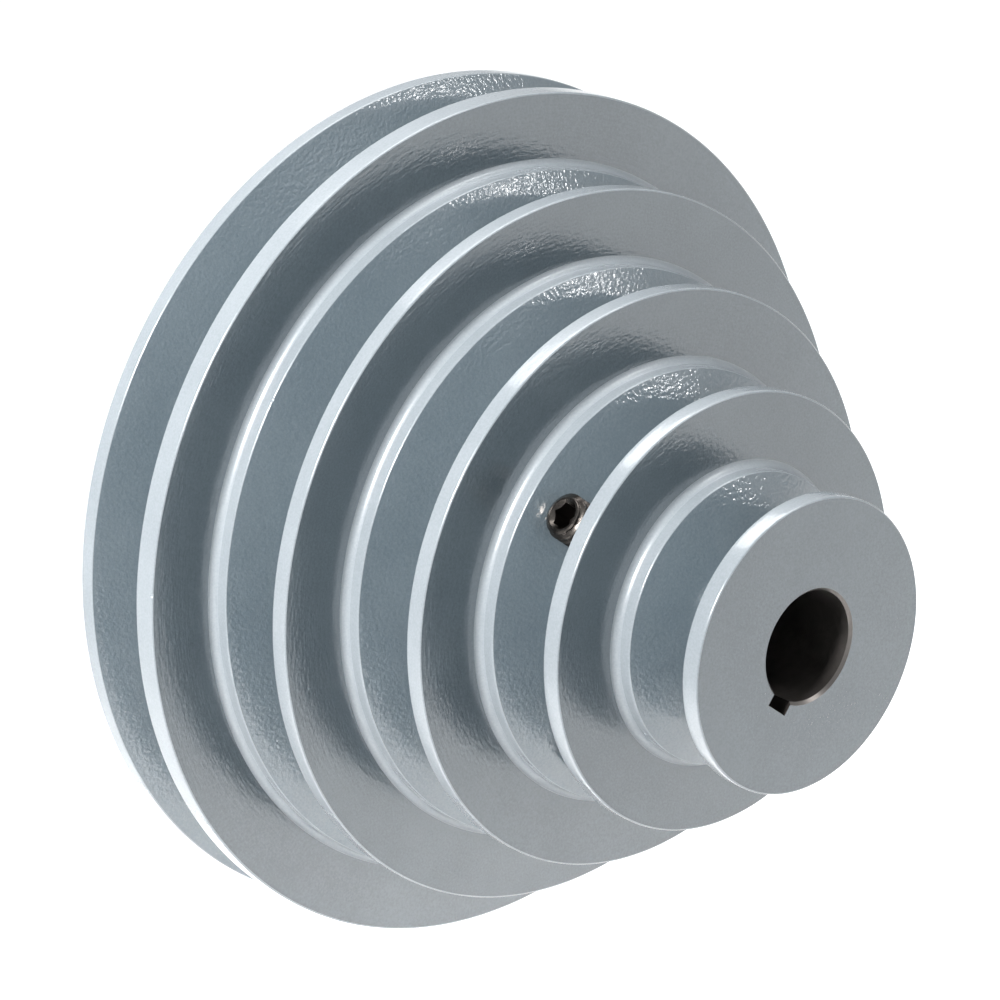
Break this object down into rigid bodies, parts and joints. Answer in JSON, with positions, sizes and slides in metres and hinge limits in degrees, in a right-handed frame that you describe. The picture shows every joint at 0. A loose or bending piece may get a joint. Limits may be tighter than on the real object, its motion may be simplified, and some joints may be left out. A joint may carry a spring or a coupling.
{
  "type": "step-cone v belt pulley",
  "caption": "Step-cone V belt pulley cast in one piece, with belt grooves on stepped diameters, a keyed shaft bore, radial set screws and a cored back.",
  "frame": {"origin": "on the spin axis at the middle of the pulley's length", "axes": "+Y along the spin axis, from the small end to the large end; the shaft's set screw points towards -X +Z, and the keyway and its set screw towards -X -Z"},
  "size_m": [0.1524, 0.0958, 0.1524],
  "materials": {
    "casting": "turned iron under a thin glossy blue-grey enamel, paler on the lands",
    "set_screw": "bright steel with rolled threads"
  },
  "bodies": {
    "pulley": {"pulley_casting": "casting"},
    "shaft_screw": {"shaft_set_screw": "set_screw"},
    "key_screw": {"key_set_screw": "set_screw"}
  },
  "joints": [
    {"name": "shaft_screw_travel", "type": "slide", "parent": "pulley", "child": "shaft_screw", "axis": [0.7071, 0, -0.7071], "range_m": [-0.002, 0.013]},
    {"name": "key_screw_travel", "type": "slide", "parent": "pulley", "child": "key_screw", "axis": [0.7071, 0, 0.7071], "range_m": [-0.002, 0.0108]}
  ]
}
